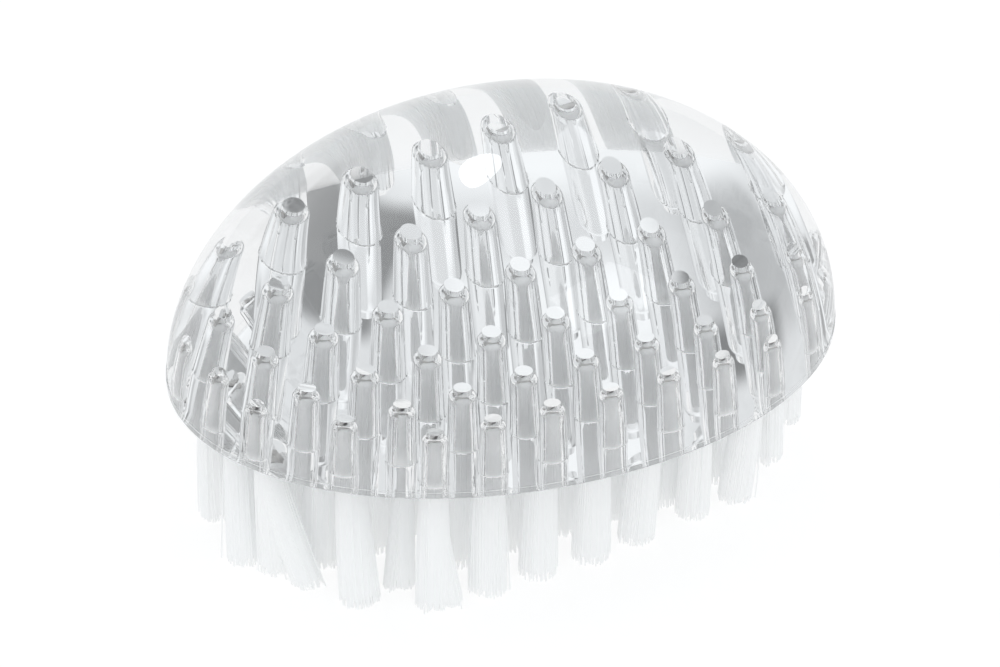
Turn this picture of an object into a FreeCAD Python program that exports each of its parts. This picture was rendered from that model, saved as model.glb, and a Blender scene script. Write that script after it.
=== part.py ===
import FreeCAD, Part
import math
import os
import Sketcher

# Clear nail brush: a solid dome of clear plastic with blind holes in its flat underside.
# Each hole holds one tuft of nylon filaments, folded over a small flat metal anchor.
# The brush stands on its bristle tips. The origin is in that plane, below the middle
# of the dome. X runs along the dome, Y across it and Z up. Sizes are in millimetres.

SIZES = {
    # oval solid that the dome is cut from; a fullness of 1 is a plain four-centre oval
    "oval_length": 86.0,
    "oval_diameter": 65.2,
    "oval_fullness": 1.05,
    "underside_lift": 1.5,
    "rim_height": 0.9,
    "rim_bevel": 0.3,
    # blind holes in the flat underside, with the distance from the edge of the dome to
    # the middles of the outermost ones at its ends and at its sides
    "hole_diameter": 3.4,
    "hole_depth": 6.3,
    "end_border": 6.5,
    "side_border": 10.85,
    # tufts, with the slope of their sides in degrees
    "bristle_length": 18.5,
    "tuft_clearance": 0.15,
    "tuft_spread": 2.0,
    # anchors
    "anchor_thickness": 0.4,
    "anchor_height": 1.3,
    "anchor_cover": 0.6,
    "anchor_clearance": 0.02,
}

# Holes of each row, from the front of the brush to its back.
ROW_COUNTS = [7, 9, 11, 11, 11, 9, 7]
ROW_GAPS = len(ROW_COUNTS) - 1
MIDDLE_ROW = ROW_GAPS / 2

# Distance between the holes of a row and between the rows.
HOLE_PITCH = ("(<<sizes>>.oval_length - 2 * <<sizes>>.end_border) / %d"
              % (max(ROW_COUNTS) - 1))
ROW_PITCH = "(<<sizes>>.oval_diameter - 2 * <<sizes>>.side_border) / %d" % ROW_GAPS

# Sides of the section of a round hole and of a tuft.
HOLE_SIDES = 12
TUFT_SIDES = 8

FULL_TURN = 360
HALF_TURN = 180

# Places of the arcs in the list of the oval's arcs, and parts of a line or an arc.
RIGHT_END = 0
LEFT_END = 2
X_AXIS = -1
START = 1
END = 2
MIDDLE = 3

doc = FreeCAD.newDocument("nail_brush")
sheet = doc.addObject("Spreadsheet::Sheet", "sizes")


def fill_sheet():
    """Writes each size as a plain number, with its name beside it and as its alias."""
    for line, (name, value) in enumerate(SIZES.items(), start=1):
        sheet.set("A%d" % line, name)
        sheet.set("B%d" % line, str(value))
        sheet.setAlias("B%d" % line, name)
    doc.recompute()


def origin_feature(body, role):
    """One of the body's own origin planes or axes."""
    for feature in body.Origin.OriginFeatures:
        if feature.Role == role:
            return feature


def new_sketch(body, name, role):
    """A sketch that lies on one of the body's own origin planes."""
    sketch = body.newObject("Sketcher::SketchObject", name)
    sketch.AttachmentSupport = [(origin_feature(body, role), "")]
    sketch.MapMode = "FlatFace"
    return sketch


def draw_outline(sketch, corners):
    """A closed outline of straight lines.

    Each corner is a rough (right, up) and the pair of formulas that bind it.
    """
    rough = [FreeCAD.Vector(right, up, 0) for right, up, _, _ in corners]
    count = len(corners)
    for index in range(count):
        sketch.addGeometry(Part.LineSegment(rough[index], rough[(index + 1) % count]), False)
    for index in range(count):
        sketch.addConstraint(
            Sketcher.Constraint("Coincident", index, 2, (index + 1) % count, 1))
    for index, (_, _, right, up) in enumerate(corners):
        bind_corner(sketch, index, "DistanceX", right)
        bind_corner(sketch, index, "DistanceY", up)


def bind_corner(sketch, line, kind, formula):
    """Binds the start of a line to its distance from the sketch's own zero point."""
    bind(sketch, (kind, -1, 1, line, 1, 0.0), formula)


def bind(sketch, constraint, formula):
    """Adds a constraint with a value and binds the value to a formula."""
    number = sketch.addConstraint(Sketcher.Constraint(*constraint))
    sketch.setExpression("Constraints[%d]" % number, formula)


def row_start(count):
    """Formula for the X of the first hole of a row."""
    return "-%d * (%s) / 2" % (count - 1, HOLE_PITCH)


def row_place(row):
    """Formula for the Y of a row."""
    return "%g * (%s)" % (row - MIDDLE_ROW, ROW_PITCH)


def repeat_along_row(body, name, feature, count):
    """Repeats a feature at each hole of its row."""
    pattern = body.newObject("PartDesign::LinearPattern", name)
    pattern.Originals = [feature]
    pattern.Direction = (origin_feature(body, "X_Axis"), [""])
    pattern.Mode = "Extent"
    pattern.Occurrences = count
    pattern.setExpression("Length", "%d * (%s)" % (count - 1, HOLE_PITCH))
    body.Tip = pattern
    return pattern


def new_body(label):
    """A body whose local zero height is the flat underside of the dome."""
    body = doc.addObject("PartDesign::Body", label)
    body.Label = label
    body.setExpression("Placement.Base.z", "<<sizes>>.bristle_length")
    return body


# Radii of the oval's arcs. The end radius is that of a draughtsman's four-centre oval,
# times the fullness. The flank radius is the one that makes the arcs tangent.
DIAGONAL = "sqrt(<<sizes>>.oval_length ^ 2 + <<sizes>>.oval_diameter ^ 2)"
END_RADIUS = ("(<<sizes>>.oval_fullness * %s / (4 * <<sizes>>.oval_length)"
              " * (%s - <<sizes>>.oval_length + <<sizes>>.oval_diameter))"
              % (DIAGONAL, DIAGONAL))
END_MIDDLE = "(<<sizes>>.oval_length / 2 - %s)" % END_RADIUS
FLANK_RADIUS = ("(%s ^ 2 + (<<sizes>>.oval_diameter / 2) ^ 2 - %s ^ 2)"
                " / (<<sizes>>.oval_diameter - 2 * %s)"
                % (END_MIDDLE, END_RADIUS, END_RADIUS))


def oval_arcs():
    """Rough places of the oval's four tangent arcs: round each end and along each flank.

    Each arc is its middle's X and Y, its radius and the angles of its two ends.
    """
    length = SIZES["oval_length"]
    width = SIZES["oval_diameter"]
    diagonal = math.hypot(length, width)
    end_radius = (SIZES["oval_fullness"] * diagonal / (4 * length)
                  * (diagonal - length + width))
    end_middle = length / 2 - end_radius
    flank_radius = ((end_middle ** 2 + (width / 2) ** 2 - end_radius ** 2)
                    / (width - 2 * end_radius))
    flank_middle = width / 2 - flank_radius
    turn = math.atan2(-flank_middle, end_middle)
    return [
        (end_middle, 0, end_radius, -turn, turn),
        (0, flank_middle, flank_radius, turn, math.pi - turn),
        (-end_middle, 0, end_radius, math.pi - turn, math.pi + turn),
        (0, -flank_middle, flank_radius, math.pi + turn, 2 * math.pi - turn),
    ]


def draw_arcs(sketch, arcs):
    """Draws arcs end to end, tangent to each other, and binds their radii."""
    upward = FreeCAD.Vector(0, 0, 1)
    for across, up, radius, start, end in arcs:
        circle = Part.Circle(FreeCAD.Vector(across, up, 0), upward, radius)
        sketch.addGeometry(Part.ArcOfCircle(circle, start, end), False)
    for index in range(len(arcs) - 1):
        sketch.addConstraint(Sketcher.Constraint("Tangent", index, 2, index + 1, 1))
    sketch.addConstraint(Sketcher.Constraint("PointOnObject", RIGHT_END, MIDDLE, X_AXIS))
    sketch.addConstraint(Sketcher.Constraint("PointOnObject", LEFT_END, MIDDLE, X_AXIS))
    bind(sketch, ("DistanceX", X_AXIS, START, RIGHT_END, MIDDLE, arcs[RIGHT_END][0]),
         END_MIDDLE)
    bind(sketch, ("DistanceX", LEFT_END, MIDDLE, X_AXIS, START, arcs[RIGHT_END][0]),
         END_MIDDLE)
    for index, arc in enumerate(arcs):
        formula = FLANK_RADIUS
        if index in (RIGHT_END, LEFT_END):
            formula = END_RADIUS
        bind(sketch, ("Radius", index, arc[2]), formula)


def add_crown(body):
    """The domed top: an oval solid, turned about its long axis, cut flat above it."""
    arcs = oval_arcs()[:3]
    arcs[RIGHT_END] = arcs[RIGHT_END][:3] + (0, arcs[RIGHT_END][4])
    arcs[LEFT_END] = arcs[LEFT_END][:4] + (math.pi,)
    outline = new_sketch(body, "crown_outline", "XY_Plane")
    outline.setExpression("AttachmentOffset.Base.z", "-<<sizes>>.underside_lift")
    draw_arcs(outline, arcs)
    half_length = SIZES["oval_length"] / 2
    axis_line = outline.addGeometry(Part.LineSegment(
        FreeCAD.Vector(-half_length, 0, 0), FreeCAD.Vector(half_length, 0, 0)), False)
    outline.addConstraint(
        Sketcher.Constraint("Coincident", LEFT_END, END, axis_line, START))
    outline.addConstraint(
        Sketcher.Constraint("Coincident", axis_line, END, RIGHT_END, START))
    for point in (START, END):
        outline.addConstraint(
            Sketcher.Constraint("PointOnObject", axis_line, point, X_AXIS))
    crown = body.newObject("PartDesign::Revolution", "crown")
    crown.Profile = outline
    crown.ReferenceAxis = (outline, ["H_Axis"])
    crown.Angle = HALF_TURN
    doc.recompute()

    waste = new_sketch(body, "crown_waste", "XY_Plane")
    reach = SIZES["oval_length"]
    side = "<<sizes>>.oval_length"
    draw_outline(waste, [
        (-reach, -reach, "-" + side, "-" + side),
        (reach, -reach, side, "-" + side),
        (reach, reach, side, side),
        (-reach, reach, "-" + side, side),
    ])
    cut = body.newObject("PartDesign::Pocket", "crown_cut")
    cut.Profile = waste
    cut.setExpression("Length", "<<sizes>>.oval_diameter")
    doc.recompute()


def add_rim(body):
    """The upright band round the foot of the dome, bevelled at the underside."""
    outline = new_sketch(body, "rim_outline", "XY_Plane")
    arcs = oval_arcs()
    draw_arcs(outline, arcs)
    outline.addConstraint(Sketcher.Constraint("Tangent", len(arcs) - 1, END, 0, START))
    band = body.newObject("PartDesign::Pad", "rim")
    band.Profile = outline
    band.setExpression("Length", "<<sizes>>.rim_height")
    doc.recompute()
    edges = []
    for number, edge in enumerate(band.Shape.Edges, start=1):
        if edge.BoundBox.ZMax < SIZES["rim_bevel"] / 2:
            edges.append("Edge%d" % number)
    bevel = body.newObject("PartDesign::Chamfer", "rim_bevel_cut")
    bevel.Base = (band, edges)
    bevel.setExpression("Size", "<<sizes>>.rim_bevel")
    doc.recompute()


def draw_section(body, name, row, count, sides, radius_formula, height_formula):
    """A many-sided section across the first hole or tuft of a row."""
    section = new_sketch(body, name, "XY_Plane")
    step = FULL_TURN / sides
    corners = []
    for corner in range(sides):
        angle = (corner + 0.5) * step
        corners.append((
            math.cos(math.radians(angle)),
            math.sin(math.radians(angle)),
            "(%s) * cos(%g)" % (radius_formula, angle),
            "(%s) * sin(%g)" % (radius_formula, angle),
        ))
    draw_outline(section, corners)
    section.setExpression("AttachmentOffset.Base.x", row_start(count))
    section.setExpression("AttachmentOffset.Base.y", row_place(row))
    section.setExpression("AttachmentOffset.Base.z", height_formula)
    return section


HOLE_RADIUS = "<<sizes>>.hole_diameter / 2"


def add_hole_row(body, row, count):
    """Blind holes with flat ends."""
    section = draw_section(
        body, "hole_section_%d" % (row + 1), row, count, HOLE_SIDES, HOLE_RADIUS, "0 mm")
    hole = body.newObject("PartDesign::Pocket", "hole_%d" % (row + 1))
    hole.Profile = section
    hole.Reversed = True
    hole.setExpression("Length", "<<sizes>>.hole_depth")
    doc.recompute()
    return repeat_along_row(body, "holes_%d" % (row + 1), hole, count)


def make_dome():
    """The clear dome with its blind holes."""
    body = new_body("dome")
    add_crown(body)
    add_rim(body)
    for row, count in enumerate(ROW_COUNTS):
        add_hole_row(body, row, count)
    return body


# Height of an anchor's top edge, and how far it reaches from the middle of its hole to
# just short of the wall.
ANCHOR_TOP = "<<sizes>>.hole_depth - <<sizes>>.anchor_cover"
ANCHOR_REACH = ("<<sizes>>.hole_diameter / 2 * cos(%g) - <<sizes>>.anchor_clearance"
                % (FULL_TURN / HOLE_SIDES / 2))


def make_tuft_row(row, count):
    """One row of tufts: each a bundle that widens from its fold to its tip."""
    body = new_body("tuft_row_%d" % (row + 1))
    body.AllowCompound = True
    section = draw_section(
        body, "tuft_section_%d" % (row + 1), row, count, TUFT_SIDES,
        HOLE_RADIUS + " - <<sizes>>.tuft_clearance", "-<<sizes>>.bristle_length")
    bundle = body.newObject("PartDesign::Pad", "bundle_%d" % (row + 1))
    bundle.Profile = section
    bundle.setExpression("Length", "<<sizes>>.bristle_length + <<sizes>>.hole_depth")
    doc.recompute()
    sides = []
    for number, face in enumerate(bundle.Shape.Faces, start=1):
        if abs(face.normalAt(0, 0).z) < 0.5:
            sides.append("Face%d" % number)
    tuft = body.newObject("PartDesign::Draft", "tuft_%d" % (row + 1))
    tuft.Base = (bundle, sides)
    tuft.NeutralPlane = (origin_feature(body, "XY_Plane"), [""])
    tuft.setExpression("Angle", "<<sizes>>.tuft_spread")
    doc.recompute()
    pattern = repeat_along_row(body, "tufts_%d" % (row + 1), tuft, count)
    pattern.TransformMode = "Whole shape"
    doc.recompute()
    cut_anchor_slot(body, row)
    return body


def cut_anchor_slot(body, row):
    """The gap in the fold of each tuft of the row, where its anchor lies."""
    half = SIZES["anchor_thickness"] / 2
    top = SIZES["hole_depth"] - SIZES["anchor_cover"]
    bottom = top - SIZES["anchor_height"]
    near = "%s - <<sizes>>.anchor_thickness / 2" % row_place(row)
    far = "%s + <<sizes>>.anchor_thickness / 2" % row_place(row)
    low = ANCHOR_TOP + " - <<sizes>>.anchor_height"
    row_pitch = (SIZES["oval_diameter"] - 2 * SIZES["side_border"]) / ROW_GAPS
    middle = (row - MIDDLE_ROW) * row_pitch
    section = new_sketch(body, "slot_section_%d" % (row + 1), "YZ_Plane")
    draw_outline(section, [
        (middle - half, bottom, near, low),
        (middle + half, bottom, far, low),
        (middle + half, top, far, ANCHOR_TOP),
        (middle - half, top, near, ANCHOR_TOP),
    ])
    slot = body.newObject("PartDesign::Pocket", "anchor_slot_%d" % (row + 1))
    slot.Profile = section
    slot.Type = "ThroughAll"
    slot.SideType = "Symmetric"
    doc.recompute()
    body.Tip = slot


def make_anchor_row(row, count):
    """One row of anchors: flat plates that stand on edge across their holes."""
    body = new_body("anchor_row_%d" % (row + 1))
    body.AllowCompound = True
    anchor = body.newObject("PartDesign::AdditiveBox", "anchor_%d" % (row + 1))
    anchor.AttachmentSupport = [(origin_feature(body, "XY_Plane"), "")]
    anchor.MapMode = "FlatFace"
    anchor.setExpression("Length", "2 * (%s)" % ANCHOR_REACH)
    anchor.setExpression("Width", "<<sizes>>.anchor_thickness")
    anchor.setExpression("Height", "<<sizes>>.anchor_height")
    anchor.setExpression(
        "AttachmentOffset.Base.x", "%s - (%s)" % (row_start(count), ANCHOR_REACH))
    anchor.setExpression(
        "AttachmentOffset.Base.y",
        "%s - <<sizes>>.anchor_thickness / 2" % row_place(row))
    anchor.setExpression(
        "AttachmentOffset.Base.z", ANCHOR_TOP + " - <<sizes>>.anchor_height")
    doc.recompute()
    repeat_along_row(body, "anchors_%d" % (row + 1), anchor, count)
    return body


def check_document(bodies):
    """Stops the build if any feature failed or any sub-part has no sound shape."""
    for item in doc.Objects:
        for word in ("Invalid", "Error"):
            if word in item.State:
                raise RuntimeError("%s is %s" % (item.Name, item.State))
    for body, solids in bodies:
        shape = body.Shape
        if shape.isNull() or not shape.isValid():
            raise RuntimeError("%s has no valid shape" % body.Label)
        if len(shape.Solids) != solids:
            raise RuntimeError("%s has %d solids" % (body.Label, len(shape.Solids)))


def check_holes(dome):
    """Stops the build unless each hole has its own flat end, as large as its section."""
    outline = doc.getObject("hole_section_1").Shape.Wires[0]
    section = Part.Face(outline).Area
    height = SIZES["bristle_length"] + SIZES["hole_depth"]
    ends = 0
    for face in dome.Shape.Faces:
        box = face.BoundBox
        level = max(abs(box.ZMin - height), abs(box.ZMax - height)) < SIZES["rim_bevel"]
        if level and abs(face.Area - section) < section / 1000:
            ends += 1
    if ends != sum(ROW_COUNTS):
        raise RuntimeError("the dome has %d hole ends" % ends)


fill_sheet()
dome = make_dome()
bodies = [(dome, 1)]
for row, count in enumerate(ROW_COUNTS):
    bodies.append((make_tuft_row(row, count), count))
    bodies.append((make_anchor_row(row, count), count))
doc.recompute()
check_document(bodies)
check_holes(dome)

os.makedirs("parts", exist_ok=True)
for body, _ in bodies:
    body.Shape.exportStep("parts/%s.step" % body.Label)
    print(body.Label, len(body.Shape.Solids), round(body.Shape.Volume, 2))
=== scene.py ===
import math
import random
from collections import namedtuple

import bpy
from mathutils import Matrix, Vector
from mathutils.geometry import delaunay_2d_cdt


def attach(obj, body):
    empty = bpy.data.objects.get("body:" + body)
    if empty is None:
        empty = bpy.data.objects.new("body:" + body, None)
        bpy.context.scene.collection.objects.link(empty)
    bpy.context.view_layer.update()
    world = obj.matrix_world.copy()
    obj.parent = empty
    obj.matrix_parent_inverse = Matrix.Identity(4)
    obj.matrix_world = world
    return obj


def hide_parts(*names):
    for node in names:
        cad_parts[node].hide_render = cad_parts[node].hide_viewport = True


# Clear nail brush: a plastic dome with blind holes, and in each hole a tuft of nylon
# filaments folded over a flat metal anchor. Lengths below are in millimetres in the
# part's own frame. MM turns them into metres when a mesh is made.
MM = 0.001

# The dome stands on its bristles, so its underside is as high as they are long. It bulges
# past an ellipsoid by its fullness, as a share. Its crown starts a small step inside the
# upright rim, and the rim's lower edge is rounded.
BRISTLE_LENGTH = 18.5
DOME_HALF_LENGTH = 43.0
DOME_HALF_WIDTH = 32.6
DOME_HEIGHT = 31.1
DOME_FULLNESS = 0.005
RIM_HEIGHT = 0.9
RIM_BEVEL = 0.3
RIM_STEP = 0.09

# The holes in rows from front to back. Each has a bevelled mouth with chips, a wall that
# narrows upwards, a round shoulder, a neck and a flat end.
ROW_COUNTS = [7, 9, 11, 11, 11, 9, 7]
MIDDLE_ROW = 3
HOLE_PITCH = 7.3
ROW_PITCH = 7.25
HOLE_DEPTH = 6.3
HOLE_RADIUS = 1.7
HOLE_TOP_RADIUS = 1.52
NECK_RADIUS = 1.02
HOLE_END_RADIUS = 0.96
MOUTH_BEVEL = 0.1
SHOULDER_HEIGHT = 0.6
SHOULDER_TURN = 65
NECK_HEIGHT = 0.5
# The depth of the chips, as a share of the bevel.
CHIP_SHARE = (0.2, 1.0)
# Faint ripples in the walls: how many go round a hole, how deep they are, and how far
# they turn on their way up, in radians.
RIPPLE_COUNTS = (2, 3, 5)
RIPPLE_DEPTH = (0.003, 0.007)
RIPPLE_TWIST = 2
HOLE_SEED = 7

# How finely the dome and its holes are divided.
DOME_SIDES = 480
EDGE_LEVELS = 5
CROWN_LEVELS = 150
HOLE_SIDES = 56
WALL_LEVELS = 8
SHOULDER_LEVELS = 5

# The anchors are flat plates on edge. The cover is how far a plate's top lies below the
# end of its hole, the reach is half its length, and its long edges are bevelled.
ANCHOR_THICKNESS = 0.4
ANCHOR_HEIGHT = 0.9
ANCHOR_COVER = 0.4
ANCHOR_REACH = 1.12
ANCHOR_BEVEL = 0.06

# The fold of a tuft lies a little below the end of its hole. There the filaments cross
# the anchor in a narrow oval, and from a little lower they fill the tuft's round.
FOLD_COVER = 0.8
FOLD_HEIGHT = BRISTLE_LENGTH + HOLE_DEPTH - FOLD_COVER
FOLD_HALF_LENGTH = 0.8
FOLD_HALF_WIDTH = 0.2
FOLD_ROUNDING = 0.5
# The radius of a tuft below its fold, at the mouth of its hole and at its tip.
TUFT_FOLD_RADIUS = 1.25
TUFT_MOUTH_RADIUS = 1.6
TUFT_TIP_RADIUS = 2.3
# With a higher flare power a tuft widens nearer to its hole, and with a higher lean power
# it bends nearer to its tip.
FLARE_POWER = 3
LEAN_POWER = 1.3
# Heights at which a tuft has a ring, down to its core's end a little above the tips.
TUFT_LEVELS = [FOLD_HEIGHT - FOLD_ROUNDING, BRISTLE_LENGTH + 3, BRISTLE_LENGTH,
               17, 15, 12, 8, 4]
CORE_END = 1.2
CORE_SIDES = 16
CORE_FOLD_RADIUS = 0.5

FILAMENT_RADIUS = 0.105
FILAMENT_SIDES = 5
# How far the outer filaments stand out from the packed core.
FILAMENT_RELIEF = 0.06
OUTER_FILAMENTS = 58
# The inner filaments show only below the core. They start inside it, and spread over a
# share of the tuft's radius, each a golden turn on from the one before.
INNER_FILAMENTS = 46
INNER_OVERLAP = 1
INNER_SPREAD = 0.9
GOLDEN_TURN = math.pi * (3 - math.sqrt(5))
# How uneven the outer filaments are: their shift as a share of the gap between them, how
# far their tips stray outwards and turn sideways, and the share that stands off by more.
# A higher stray power keeps the stray nearer to the tip.
SHIFT_SHARE = 0.3
STRAY_SPREAD = 0.05
STRAY_POWER = 1.5
DRIFT_SPREAD = 0.05
STAND_OFF_SHARE = 0.05
STAND_OFF = (0.1, 0.8)
# How unevenly the filaments end, and how far most tufts lean.
TIP_UNEVENNESS = 0.6
LEAN_SPREAD = 0.25
TUFT_SEED = 100

# How far the tips of some tufts lean, by row and hole number, with the width of the
# tuft, or of each half of a tuft that has parted.
BRANCHES = {
    (0, 0): [((0.1, 0.0), 0.9), ((2.3, -1.2), 0.4)],
    (0, 4): [((-0.2, 1.1), 1.0)],
    (0, 5): [((1.4, 2.6), 0.9)],
    (0, 6): [((0.5, 3.2), 0.9)],
    (1, 0): [((-0.2, -2.4), 0.95), ((0.9, -2.2), 0.85)],
    (1, 1): [((-2.2, -1.6), 0.5), ((-0.9, -2.1), 0.55)],
    (1, 7): [((0.8, 1.5), 1.0)],
    (1, 8): [((1.6, 2.0), 0.9)],
    (2, 0): [((1.8, 0.9), 0.85), ((3.7, -3.5), 0.85)],
    (2, 10): [((0.8, 1.5), 1.0)],
    (3, 0): [((-0.6, -2.6), 0.9)],
    (4, 0): [((1.0, 0.5), 0.85)],
}
Tuft = namedtuple("Tuft", "x y lean width")

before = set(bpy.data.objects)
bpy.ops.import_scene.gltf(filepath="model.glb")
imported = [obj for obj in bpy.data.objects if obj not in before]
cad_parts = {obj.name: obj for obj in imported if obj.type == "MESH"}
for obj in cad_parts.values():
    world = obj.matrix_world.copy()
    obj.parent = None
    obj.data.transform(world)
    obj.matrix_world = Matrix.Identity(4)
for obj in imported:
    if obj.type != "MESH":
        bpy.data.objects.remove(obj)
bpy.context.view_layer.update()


# Meshes


def mesh_object(name, points, faces, sharp_angle):
    """A smooth-shaded object, with edges sharper than an angle kept crisp."""
    mesh = bpy.data.meshes.new(name)
    mesh.from_pydata([Vector(point) * MM for point in points], [], faces)
    mesh.shade_smooth()
    mesh.set_sharp_from_angle(angle=math.radians(sharp_angle))
    mesh.validate()
    piece = bpy.data.objects.new(name, mesh)
    bpy.context.scene.collection.objects.link(piece)
    return piece


def add_ring(points, ring):
    """Adds the points of a ring and returns their numbers."""
    first = len(points)
    points.extend(ring)
    return list(range(first, first + len(ring)))


def join_rings(rings, faces, turned=False):
    """Adds the quads between rings that follow each other, turned over where asked."""
    for lower, upper in zip(rings, rings[1:]):
        count = len(lower)
        for index in range(count):
            after = (index + 1) % count
            quad = (lower[index], lower[after], upper[after], upper[index])
            faces.append(tuple(reversed(quad)) if turned else quad)


def close_downward(rings, faces):
    """The faces of a closed tube whose rings follow each other downwards."""
    join_rings(rings, faces, turned=True)
    faces.append(tuple(rings[0]))
    faces.append(tuple(reversed(rings[-1])))


def round_ring(middle_x, middle_y, radius, height, sides):
    """A level circle of points."""
    ring = []
    for index in range(sides):
        turn = 2 * math.pi * index / sides
        ring.append((middle_x + radius * math.cos(turn),
                     middle_y + radius * math.sin(turn), height))
    return ring


def fullness(turn):
    """How far an oval bulges past an ellipse, most of all midway between its axes."""
    return 1 + DOME_FULLNESS * math.sin(2 * turn) ** 2


def oval_ring(half_length, half_width, height):
    """A level oval of points round the dome."""
    ring = []
    for index in range(DOME_SIDES):
        turn = 2 * math.pi * index / DOME_SIDES
        bulge = fullness(turn)
        ring.append((half_length * math.cos(turn) * bulge,
                     half_width * math.sin(turn) * bulge, height))
    return ring


def hole_places(row):
    """X and Y of the holes of one row."""
    count = ROW_COUNTS[row]
    return [((index - (count - 1) / 2) * HOLE_PITCH, (row - MIDDLE_ROW) * ROW_PITCH)
            for index in range(count)]


def add_outside(points):
    """The rings of the dome's outside: rounded lower edge, upright rim and crown."""
    low = BRISTLE_LENGTH
    rings = []
    for level in range(EDGE_LEVELS + 1):
        turn = math.pi / 2 * level / EDGE_LEVELS
        inset = RIM_BEVEL * (1 - math.sin(turn))
        rise = RIM_BEVEL * (1 - math.cos(turn))
        rings.append(add_ring(points, oval_ring(
            DOME_HALF_LENGTH - inset, DOME_HALF_WIDTH - inset, low + rise)))
    rings.append(add_ring(points, oval_ring(
        DOME_HALF_LENGTH, DOME_HALF_WIDTH, low + RIM_HEIGHT)))
    crown_length = DOME_HALF_LENGTH - RIM_STEP
    crown_width = DOME_HALF_WIDTH - RIM_STEP
    crown_height = DOME_HEIGHT - RIM_HEIGHT
    for level in range(CROWN_LEVELS):
        turn = math.pi / 2 * level / CROWN_LEVELS
        bulge = fullness(turn)
        rings.append(add_ring(points, oval_ring(
            crown_length * math.cos(turn) * bulge, crown_width * math.cos(turn) * bulge,
            low + RIM_HEIGHT + crown_height * math.sin(turn) * bulge)))
    return rings


def add_mouth(points, x, y, chance):
    """The ring round the mouth of a hole, which chips have widened unevenly."""
    ring = []
    for place in round_ring(x, y, HOLE_RADIUS, BRISTLE_LENGTH, HOLE_SIDES):
        chip = 1 + chance.uniform(*CHIP_SHARE) * MOUTH_BEVEL / HOLE_RADIUS
        ring.append((x + (place[0] - x) * chip, y + (place[1] - y) * chip, place[2]))
    return add_ring(points, ring)


def add_wall(points, x, y, wall_height, waves):
    """The rings of a hole's wall, which narrows upwards and is faintly rippled."""
    rings = []
    for level in range(WALL_LEVELS + 1):
        up = level / WALL_LEVELS
        radius = HOLE_RADIUS + (HOLE_TOP_RADIUS - HOLE_RADIUS) * up
        height = BRISTLE_LENGTH + MOUTH_BEVEL + (wall_height - MOUTH_BEVEL) * up
        ring = []
        for index in range(HOLE_SIDES):
            turn = 2 * math.pi * index / HOLE_SIDES
            ripple = sum(depth * math.sin(number * turn + phase + RIPPLE_TWIST * up)
                         for depth, number, phase in waves)
            ring.append((x + (radius + ripple) * math.cos(turn),
                         y + (radius + ripple) * math.sin(turn), height))
        rings.append(add_ring(points, ring))
    return rings


def add_shoulder(points, x, y, wall_height):
    """The rings of the round shoulder above a hole's wall."""
    last_turn = math.radians(SHOULDER_TURN)
    rings = []
    for level in range(1, SHOULDER_LEVELS + 1):
        turn = last_turn * level / SHOULDER_LEVELS
        inward = (1 - math.cos(turn)) / (1 - math.cos(last_turn))
        radius = HOLE_TOP_RADIUS + (NECK_RADIUS - HOLE_TOP_RADIUS) * inward
        height = wall_height + SHOULDER_HEIGHT * math.sin(turn) / math.sin(last_turn)
        rings.append(add_ring(points, round_ring(
            x, y, radius, BRISTLE_LENGTH + height, HOLE_SIDES)))
    return rings


def add_hole(points, faces, x, y, chance):
    """A blind hole, from its mouth up to its flat end. Returns the ring of its mouth."""
    waves = [(chance.uniform(*RIPPLE_DEPTH), number, chance.uniform(0, 2 * math.pi))
             for number in RIPPLE_COUNTS]
    wall_height = HOLE_DEPTH - SHOULDER_HEIGHT - NECK_HEIGHT
    rings = [add_mouth(points, x, y, chance)]
    rings += add_wall(points, x, y, wall_height, waves)
    rings += add_shoulder(points, x, y, wall_height)
    rings.append(add_ring(points, round_ring(
        x, y, HOLE_END_RADIUS, BRISTLE_LENGTH + HOLE_DEPTH, HOLE_SIDES)))
    join_rings(rings, faces, turned=True)
    faces.append(tuple(reversed(rings[-1])))
    return rings[0]


def underside_faces(points, rim, mouths):
    """Triangles between the rim and the mouths of the holes."""
    places = []
    edges = []
    numbers = []
    for loop in [rim] + mouths:
        first = len(places)
        places += [Vector(points[number][:2]) for number in loop]
        numbers += loop
        count = len(loop)
        edges += [(first + index, first + (index + 1) % count) for index in range(count)]
    fill_all = 0
    tolerance = 1e-6
    result = delaunay_2d_cdt(places, edges, [], fill_all, tolerance)
    triangles = result[2]
    origins = result[3]
    middles = [place for row in range(len(ROW_COUNTS)) for place in hole_places(row)]
    well_inside = HOLE_RADIUS * 0.98
    faces = []
    for triangle in triangles:
        corners = [numbers[origins[corner][0]] for corner in triangle]
        middle_x = sum(points[corner][0] for corner in corners) / 3
        middle_y = sum(points[corner][1] for corner in corners) / 3
        in_hole = any(math.hypot(middle_x - x, middle_y - y) < well_inside
                      for x, y in middles)
        if not in_hole:
            faces.append(tuple(reversed(corners)))
    return faces


def make_dome():
    """The clear dome: a crown, an upright rim, a flat underside and blind holes."""
    points = []
    faces = []
    outside = add_outside(points)
    join_rings(outside, faces)
    top = len(points)
    points.append((0, 0, BRISTLE_LENGTH + DOME_HEIGHT))
    highest = outside[-1]
    for index in range(DOME_SIDES):
        faces.append((highest[index], highest[(index + 1) % DOME_SIDES], top))

    chance = random.Random(HOLE_SEED)
    mouths = [add_hole(points, faces, x, y, chance)
              for row in range(len(ROW_COUNTS)) for x, y in hole_places(row)]
    faces += underside_faces(points, outside[0], mouths)
    return mesh_object("clear_dome", points, faces, sharp_angle=20)


def tuft_radius(height):
    """Radius of a tuft at a height above its tips."""
    if height > BRISTLE_LENGTH:
        up = (height - BRISTLE_LENGTH) / HOLE_DEPTH
        return TUFT_MOUTH_RADIUS + (TUFT_FOLD_RADIUS - TUFT_MOUTH_RADIUS) * up
    flare = 1 - (height / BRISTLE_LENGTH) ** FLARE_POWER
    return TUFT_MOUTH_RADIUS + (TUFT_TIP_RADIUS - TUFT_MOUTH_RADIUS) * flare


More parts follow.
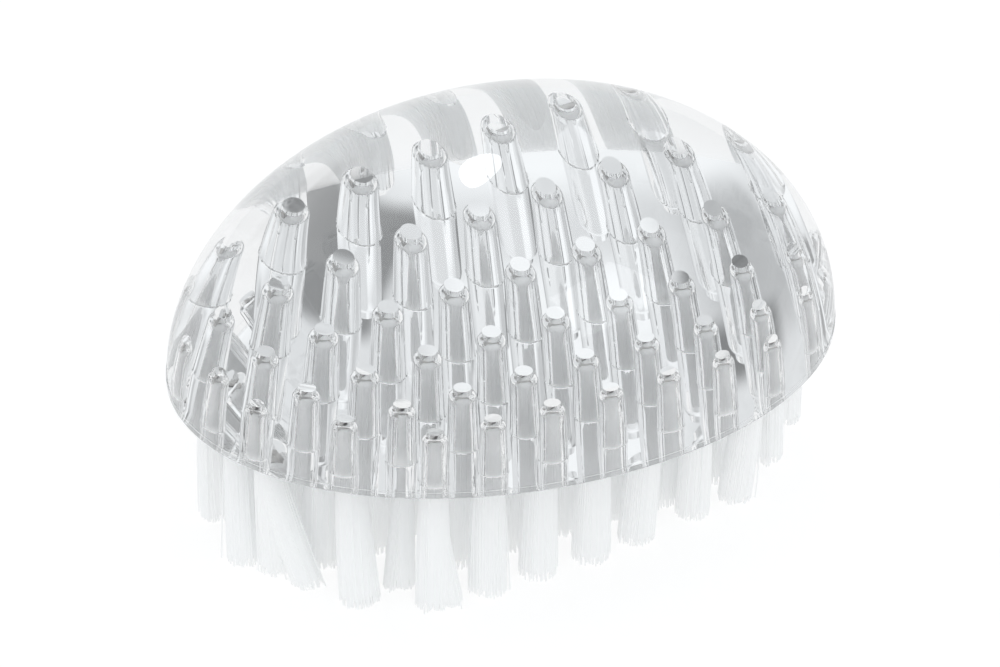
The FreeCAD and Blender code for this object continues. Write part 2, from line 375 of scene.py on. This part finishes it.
def tuft_middle(tuft, height):
    """Middle of a tuft at a height above its tips."""
    down = max(0.0, 1 - height / BRISTLE_LENGTH) ** LEAN_POWER
    return tuft.x + tuft.lean[0] * down, tuft.y + tuft.lean[1] * down


def add_core(points, faces, tuft):
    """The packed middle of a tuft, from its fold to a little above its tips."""
    x, y = tuft_middle(tuft, FOLD_HEIGHT)
    rings = [add_ring(points, round_ring(x, y, CORE_FOLD_RADIUS, FOLD_HEIGHT, CORE_SIDES))]
    for height in TUFT_LEVELS + [CORE_END]:
        x, y = tuft_middle(tuft, height)
        radius = (tuft_radius(height) - FILAMENT_RELIEF) * tuft.width
        rings.append(add_ring(points, round_ring(x, y, radius, height, CORE_SIDES)))
    close_downward(rings, faces)


def outer_path(number, tuft, chance):
    """The way of an outer filament, from the fold down to its own tip."""
    shift = chance.uniform(-SHIFT_SHARE, SHIFT_SHARE)
    turn = 2 * math.pi * (number + shift) / OUTER_FILAMENTS
    stray = chance.gauss(0, STRAY_SPREAD)
    if chance.random() < STAND_OFF_SHARE:
        stray += chance.uniform(*STAND_OFF)
    drift = chance.gauss(0, DRIFT_SPREAD)
    tip = chance.uniform(0, TIP_UNEVENNESS)
    path = [(tuft.x + FOLD_HALF_LENGTH * math.cos(turn),
             tuft.y + FOLD_HALF_WIDTH * math.sin(turn), FOLD_HEIGHT)]
    for height in TUFT_LEVELS + [tip]:
        x, y = tuft_middle(tuft, height)
        down = max(0.0, 1 - height / BRISTLE_LENGTH)
        packed = (tuft_radius(height) - FILAMENT_RADIUS) * tuft.width
        radius = packed + stray * down ** STRAY_POWER
        angle = turn + drift * down
        path.append((x + radius * math.cos(angle), y + radius * math.sin(angle), height))
    return path


def inner_path(number, tuft, chance):
    """The way of an inner filament, from inside the core to its own tip."""
    share = INNER_SPREAD * math.sqrt((number + 0.5) / INNER_FILAMENTS)
    angle = number * GOLDEN_TURN
    tip = chance.uniform(0, TIP_UNEVENNESS)
    path = []
    for height in (CORE_END + INNER_OVERLAP, tip):
        x, y = tuft_middle(tuft, height)
        radius = tuft_radius(height) * tuft.width * share
        path.append((x + radius * math.cos(angle), y + radius * math.sin(angle), height))
    return path


def add_filament(points, faces, path):
    """A thin round tube along a path that runs mostly downwards."""
    rings = [add_ring(points, round_ring(x, y, FILAMENT_RADIUS, height, FILAMENT_SIDES))
             for x, y, height in path]
    close_downward(rings, faces)


def add_tuft(points, faces, tuft, chance):
    """One tuft: a packed core, filaments all round it, and filament ends below it."""
    add_core(points, faces, tuft)
    for number in range(OUTER_FILAMENTS):
        add_filament(points, faces, outer_path(number, tuft, chance))
    for number in range(INNER_FILAMENTS):
        add_filament(points, faces, inner_path(number, tuft, chance))


def make_tuft_row(row):
    """All the tufts of one row as one piece."""
    chance = random.Random(TUFT_SEED + row)
    points = []
    faces = []
    for number, (x, y) in enumerate(hole_places(row)):
        own_lean = (chance.gauss(0, LEAN_SPREAD), chance.gauss(0, LEAN_SPREAD))
        for lean, width in BRANCHES.get((row, number), [(own_lean, 1.0)]):
            add_tuft(points, faces, Tuft(x, y, lean, width), chance)
    return mesh_object("bristles_row_%d" % (row + 1), points, faces, sharp_angle=60)


def make_anchor_row(row):
    """The anchors of one row: flat plates on edge, whose ends bite into the necks."""
    points = []
    faces = []
    top = BRISTLE_LENGTH + HOLE_DEPTH - ANCHOR_COVER
    low = top - ANCHOR_HEIGHT
    levels = ((low, ANCHOR_BEVEL), (low + ANCHOR_BEVEL, 0),
              (top - ANCHOR_BEVEL, 0), (top, ANCHOR_BEVEL))
    for x, y in hole_places(row):
        rings = []
        for height, inset in levels:
            reach = ANCHOR_REACH - inset
            side = ANCHOR_THICKNESS / 2 - inset
            rings.append(add_ring(points, [
                (x + reach, y - side, height), (x + reach, y + side, height),
                (x - reach, y + side, height), (x - reach, y - side, height)]))
        join_rings(rings, faces)
        faces.append(tuple(reversed(rings[0])))
        faces.append(tuple(rings[-1]))
    return mesh_object("anchors_row_%d" % (row + 1), points, faces, sharp_angle=30)


# Materials


def new_material(name):
    """A material with its node tree, its shader and a texture place in object space."""
    material = bpy.data.materials.new(name)
    material.use_nodes = True
    nodes = material.node_tree.nodes
    shader = nodes["Principled BSDF"]
    place = nodes.new("ShaderNodeTexCoord")
    return material, nodes, material.node_tree.links, shader, place


def add_noise(nodes, links, place, scale):
    """Fine noise that stays with the piece."""
    noise = nodes.new("ShaderNodeTexNoise")
    noise.inputs["Scale"].default_value = scale
    links.new(place.outputs["Object"], noise.inputs["Vector"])
    return noise.outputs["Fac"]


def vary_roughness(nodes, links, shader, noise, least, most):
    """Roughness that follows a noise between two values."""
    levels = nodes.new("ShaderNodeMapRange")
    levels.inputs["To Min"].default_value = least
    levels.inputs["To Max"].default_value = most
    links.new(noise, levels.inputs["Value"])
    links.new(levels.outputs["Result"], shader.inputs["Roughness"])


def clear_material():
    """Clear moulded plastic with the faint haze of a handled surface."""
    material, nodes, links, shader, place = new_material("clear_plastic")
    shader.inputs["Base Color"].default_value = (0.998, 0.999, 1.0, 1)
    shader.inputs["Transmission Weight"].default_value = 1.0
    shader.inputs["IOR"].default_value = 1.57
    haze = add_noise(nodes, links, place, 90)
    vary_roughness(nodes, links, shader, haze, 0.0, 0.02)
    return material


def nylon_material():
    """Milky white nylon filament, a little lighter or darker from place to place."""
    material, nodes, links, shader, place = new_material("nylon_filament")
    shade = add_noise(nodes, links, place, 700)
    colours = nodes.new("ShaderNodeValToRGB")
    colours.color_ramp.elements[0].color = (0.975, 0.98, 0.98, 1)
    colours.color_ramp.elements[1].color = (0.99, 0.99, 0.99, 1)
    links.new(shade, colours.inputs["Fac"])
    links.new(colours.outputs["Color"], shader.inputs["Base Color"])
    shader.inputs["Roughness"].default_value = 0.6
    shader.inputs["Specular IOR Level"].default_value = 0.1
    return material


def anchor_material():
    """Plain steel wire, duller in some places than in others."""
    material, nodes, links, shader, place = new_material("anchor_steel")
    shader.inputs["Metallic"].default_value = 1.0
    shader.inputs["Base Color"].default_value = (0.55, 0.54, 0.53, 1)
    grain = add_noise(nodes, links, place, 2500)
    vary_roughness(nodes, links, shader, grain, 0.25, 0.5)
    return material


# Studio

# Direction in which the camera looks, in degrees from +X towards +Y.
FORWARD = 59.6
COOL_WHITE = (0.95, 0.98, 1.0, 1)
# The even light on matt surfaces, where 1 is white.
LIGHT_LEVEL = 1.0
# The studio that shows in the dome. Its walls give way to the ceiling between two heights
# in degrees.
ROOM_LEVEL = 0.75
CEILING_LEVEL = 0.98
CEILING_START = 48
CEILING_END = 60
# Panels and gaps of the studio: the middle and half width of each, in degrees left of
# the view ahead, the middle and half height above the floor, the softness of its edge in
# degrees, and how bright it is.
PANELS = [
    ("right wall", -82, 16, 26, 16, 5, 0.58),
    ("left wall", 130, 35, 22, 26, 6, 0.86),
    ("behind the camera", 182, 25, 27, 10, 5, 0.74),
    ("left gap", 43, 15, 36, 16, 6, 0.5),
    ("low left gap", 34, 11, 21, 6, 3, 0.18),
    ("right gap", -48, 25, 39, 11, 2, 0.25),
    ("low right gap", -60, 7, 22, 5, 2, 0.25),
    ("backdrop", 5, 16, 18, 23, 4, 0.96),
    ("right softbox", -130, 19, 35, 11, 4, 1.0),
]
# Lamps that only the outer shine of the dome shows.
SHINE_PANELS = [
    ("right box", -115, 16, 41.5, 10.5, 1, 2.3),
    ("left box", 145, 7, 40, 10, 3, 1.0),
]
# One more such lamp, an upright oval, in the same degrees. Its softness is a share.
LAMP_LEFT = 2
LAMP_HALF_WIDTH = 6.6
LAMP_HEIGHT = 56.3
LAMP_HALF_HEIGHT = 8.5
LAMP_SOFTNESS = 0.07
LAMP_LEVEL = 5.0

# Half the length of the floor's sides, in metres.
FLOOR_HALF_SIZE = 3.0
# The floor as the brush is lit by it: its own grey, and an even glow.
FLOOR_GREY = 0.25
FLOOR_EVEN_GLOW = 0.68
# The floor as it is seen: the share that takes the brush's shadow, the rest that glows,
# and how much of that glow is seen in the plastic.
FLOOR_SHADE = 0.3
FLOOR_GLOW = 0.75
FLOOR_IN_PLASTIC = 0.86


def set_or_link(links, socket, value):
    """Gives a socket a number, or another node's result."""
    if isinstance(value, (int, float)):
        socket.default_value = value
    else:
        links.new(value, socket)


def number_node(nodes, links, operation, *values):
    """The result of one step of arithmetic."""
    node = nodes.new("ShaderNodeMath")
    node.operation = operation
    for slot, value in enumerate(values):
        set_or_link(links, node.inputs[slot], value)
    return node.outputs[0]


def soft_step(nodes, links, value, inside, outside):
    """1 on one side of a soft edge and 0 on the other."""
    node = nodes.new("ShaderNodeMapRange")
    node.interpolation_type = "SMOOTHSTEP"
    node.inputs["From Min"].default_value = outside
    node.inputs["From Max"].default_value = inside
    links.new(value, node.inputs["Value"])
    return node.outputs["Result"]


def blend(nodes, links, below, above, share):
    """A mix of two levels."""
    node = nodes.new("ShaderNodeMix")
    node.data_type = "FLOAT"
    set_or_link(links, node.inputs["Factor"], share)
    set_or_link(links, node.inputs["A"], below)
    set_or_link(links, node.inputs["B"], above)
    return node.outputs["Result"]


def mix_shaders(nodes, links, share, below, above):
    """A mix of two shaders or backgrounds."""
    mix = nodes.new("ShaderNodeMixShader")
    links.new(share, mix.inputs[0])
    links.new(below.outputs[0], mix.inputs[1])
    links.new(above.outputs[0], mix.inputs[2])
    return mix


def seen_directly(nodes, links):
    """1 where a surface is seen by the camera, in a reflection or through the dome."""
    path = nodes.new("ShaderNodeLightPath")
    seen = number_node(nodes, links, "MAXIMUM", path.outputs["Is Camera Ray"],
                       path.outputs["Is Glossy Ray"])
    return number_node(nodes, links, "MAXIMUM", seen, path.outputs["Is Transmission Ray"])


def floor_material():
    """White with a soft shadow where it is seen, open from below, and even as a light."""
    material, nodes, links, even, _ = new_material("pale_floor")
    even.inputs["Base Color"].default_value = (FLOOR_GREY, FLOOR_GREY, FLOOR_GREY, 1)
    even.inputs["Roughness"].default_value = 0.9
    even.inputs["Specular IOR Level"].default_value = 0.0
    even.inputs["Emission Color"].default_value = (1, 1, 1, 1)
    even.inputs["Emission Strength"].default_value = FLOOR_EVEN_GLOW

    shade = nodes.new("ShaderNodeBsdfDiffuse")
    shade.inputs["Color"].default_value = (FLOOR_SHADE, FLOOR_SHADE, FLOOR_SHADE, 1)
    path = nodes.new("ShaderNodeLightPath")
    strength = nodes.new("ShaderNodeMapRange")
    strength.inputs["To Min"].default_value = FLOOR_IN_PLASTIC * FLOOR_GLOW
    strength.inputs["To Max"].default_value = FLOOR_GLOW
    links.new(path.outputs["Is Camera Ray"], strength.inputs["Value"])
    glow = nodes.new("ShaderNodeEmission")
    glow.inputs["Color"].default_value = (1, 1, 1, 1)
    links.new(strength.outputs["Result"], glow.inputs["Strength"])
    seen = nodes.new("ShaderNodeAddShader")
    links.new(shade.outputs[0], seen.inputs[0])
    links.new(glow.outputs[0], seen.inputs[1])

    above = mix_shaders(nodes, links, seen_directly(nodes, links), even, seen)
    side = nodes.new("ShaderNodeNewGeometry")
    opening = nodes.new("ShaderNodeBsdfTransparent")
    surface = mix_shaders(nodes, links, side.outputs["Backfacing"], above, opening)
    links.new(surface.outputs[0], nodes["Material Output"].inputs["Surface"])
    return material


def make_floor():
    """A plain white floor under the brush."""
    size = FLOOR_HALF_SIZE
    mesh = bpy.data.meshes.new("floor")
    corners = [(-size, -size, 0), (size, -size, 0), (size, size, 0), (-size, size, 0)]
    mesh.from_pydata(corners, [], [(0, 1, 2, 3)])
    mesh.materials.append(floor_material())
    floor = bpy.data.objects.new("floor", mesh)
    bpy.context.scene.collection.objects.link(floor)


def near(nodes, links, off, half_size, soft):
    """1 within a half size in degrees, and 0 outside it, with a soft edge."""
    off = number_node(nodes, links, "ABSOLUTE", off)
    return soft_step(nodes, links, off, math.radians(half_size - soft),
                     math.radians(half_size + soft))


def add_panel(nodes, links, level, turn, height, shown, panel):
    """The level of the room with one more panel, where it is shown."""
    _, left, half_width, high, half_height, soft, brightness = panel
    off = number_node(nodes, links, "SUBTRACT", turn, math.radians(FORWARD + left))
    off = number_node(nodes, links, "WRAP", off, math.pi, -math.pi)
    across = near(nodes, links, off, half_width, soft)
    off = number_node(nodes, links, "SUBTRACT", height, math.radians(high))
    along = near(nodes, links, off, half_height, soft)
    share = number_node(nodes, links, "MULTIPLY", across, along)
    share = number_node(nodes, links, "MULTIPLY", share, shown)
    return blend(nodes, links, level, brightness, share)


def squared_share(nodes, links, value, middle, half_size):
    """The square of how far a value is from a middle, in half sizes."""
    off = number_node(nodes, links, "SUBTRACT", value, math.radians(middle))
    off = number_node(nodes, links, "DIVIDE", off, math.radians(half_size))
    return number_node(nodes, links, "POWER", off, 2)


def add_lamp(nodes, links, level, turn, height, shown):
    """The level of the room with the oval lamp, where it is shown."""
    across = squared_share(nodes, links, turn, FORWARD + LAMP_LEFT, LAMP_HALF_WIDTH)
    along = squared_share(nodes, links, height, LAMP_HEIGHT, LAMP_HALF_HEIGHT)
    off = number_node(nodes, links, "ADD", across, along)
    share = soft_step(nodes, links, off, 1 - LAMP_SOFTNESS, 1 + LAMP_SOFTNESS)
    share = number_node(nodes, links, "MULTIPLY", share, shown)
    return blend(nodes, links, level, LAMP_LEVEL, share)


def room_level(nodes, links):
    """How bright the studio is in each direction."""
    place = nodes.new("ShaderNodeTexCoord")
    apart = nodes.new("ShaderNodeSeparateXYZ")
    links.new(place.outputs["Generated"], apart.inputs[0])
    turn = number_node(nodes, links, "ARCTAN2", apart.outputs["Y"], apart.outputs["X"])
    height = number_node(nodes, links, "ARCSINE", apart.outputs["Z"])
    share = soft_step(nodes, links, height, math.radians(CEILING_END),
                      math.radians(CEILING_START))
    level = blend(nodes, links, ROOM_LEVEL, CEILING_LEVEL, share)
    for panel in PANELS:
        level = add_panel(nodes, links, level, turn, height, 1, panel)
    path = nodes.new("ShaderNodeLightPath")
    passed = number_node(nodes, links, "MINIMUM", path.outputs["Transmission Depth"], 1)
    outer = number_node(nodes, links, "SUBTRACT", 1, passed)
    for panel in SHINE_PANELS:
        level = add_panel(nodes, links, level, turn, height, outer, panel)
    return add_lamp(nodes, links, level, turn, height, outer)


def add_background(nodes, colour, strength):
    """A background of one colour and strength."""
    background = nodes.new("ShaderNodeBackground")
    background.inputs["Color"].default_value = colour
    background.inputs["Strength"].default_value = strength
    return background


def make_world():
    """White where the camera sees it, even light on matt surfaces, a grey room in gloss."""
    world = bpy.data.worlds.new("studio")
    bpy.context.scene.world = world
    world.use_nodes = True
    nodes = world.node_tree.nodes
    links = world.node_tree.links
    nodes.clear()
    path = nodes.new("ShaderNodeLightPath")
    room = add_background(nodes, COOL_WHITE, 1)
    links.new(room_level(nodes, links), room.inputs["Strength"])
    light = add_background(nodes, COOL_WHITE, LIGHT_LEVEL)
    seen = add_background(nodes, (1, 1, 1, 1), 1)
    bounced = number_node(nodes, links, "MINIMUM", path.outputs["Diffuse Depth"], 1)
    lit = mix_shaders(nodes, links, bounced, room, light)
    mix = mix_shaders(nodes, links, path.outputs["Is Camera Ray"], lit, seen)
    output = nodes.new("ShaderNodeOutputWorld")
    links.new(mix.outputs[0], output.inputs["Surface"])


def basis(right, up, back, place):
    """The matrix with these axes and this place."""
    matrix = Matrix.Identity(4)
    for column, axis in enumerate((right, up, back, place)):
        for line in range(3):
            matrix[line][column] = axis[line]
    return matrix


def make_camera():
    """The photograph's view: from the front left and above, through a long lens."""
    azimuth = math.radians(-30.36)
    elevation = math.radians(31.07)
    # The roll is in radians and the distance in metres.
    roll = 0.0218
    distance = 0.7312
    focal_pixels = 5992.5
    image_width = 1000
    pixels_left = 3.83
    pixels_up = 10.08
    back = Vector((math.sin(azimuth) * math.cos(elevation),
                   -math.cos(azimuth) * math.cos(elevation), math.sin(elevation)))
    level = Vector((math.cos(azimuth), math.sin(azimuth), 0))
    upright = back.cross(level)
    right = level * math.cos(roll) + upright * math.sin(roll)
    up = upright * math.cos(roll) - level * math.sin(roll)
    pixel = distance / focal_pixels
    underside = Vector((0, 0, BRISTLE_LENGTH * MM))
    middle = underside - right * pixels_left * pixel + up * pixels_up * pixel
    data = bpy.data.cameras.new("camera")
    data.sensor_width = 36
    data.lens = focal_pixels / image_width * data.sensor_width
    camera = bpy.data.objects.new("camera", data)
    camera.matrix_world = basis(right, up, back, middle + back * distance)
    bpy.context.scene.collection.objects.link(camera)
    bpy.context.scene.camera = camera


def dress(piece, material, slot, *nodes):
    """Gives a piece its material, its place on the body and the nodes it stands for."""
    piece.data.materials.append(material)
    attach(piece, "root")
    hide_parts(*nodes)


nylon = nylon_material()
steel = anchor_material()
dress(make_dome(), clear_material(), "clear_plastic", "dome")
for row in range(len(ROW_COUNTS)):
    dress(make_tuft_row(row), nylon, "nylon_bristle", "tuft_row_%d" % (row + 1))
    dress(make_anchor_row(row), steel, "anchor_metal", "anchor_row_%d" % (row + 1))

make_floor()
make_world()
make_camera()
scene = bpy.context.scene
scene.view_settings.view_transform = "Standard"
# Light passes many surfaces in the dome and many filaments before it gets out.
scene.cycles.max_bounces = 64
scene.cycles.transmission_bounces = 64
scene.cycles.diffuse_bounces = 24
scene.cycles.glossy_bounces = 40
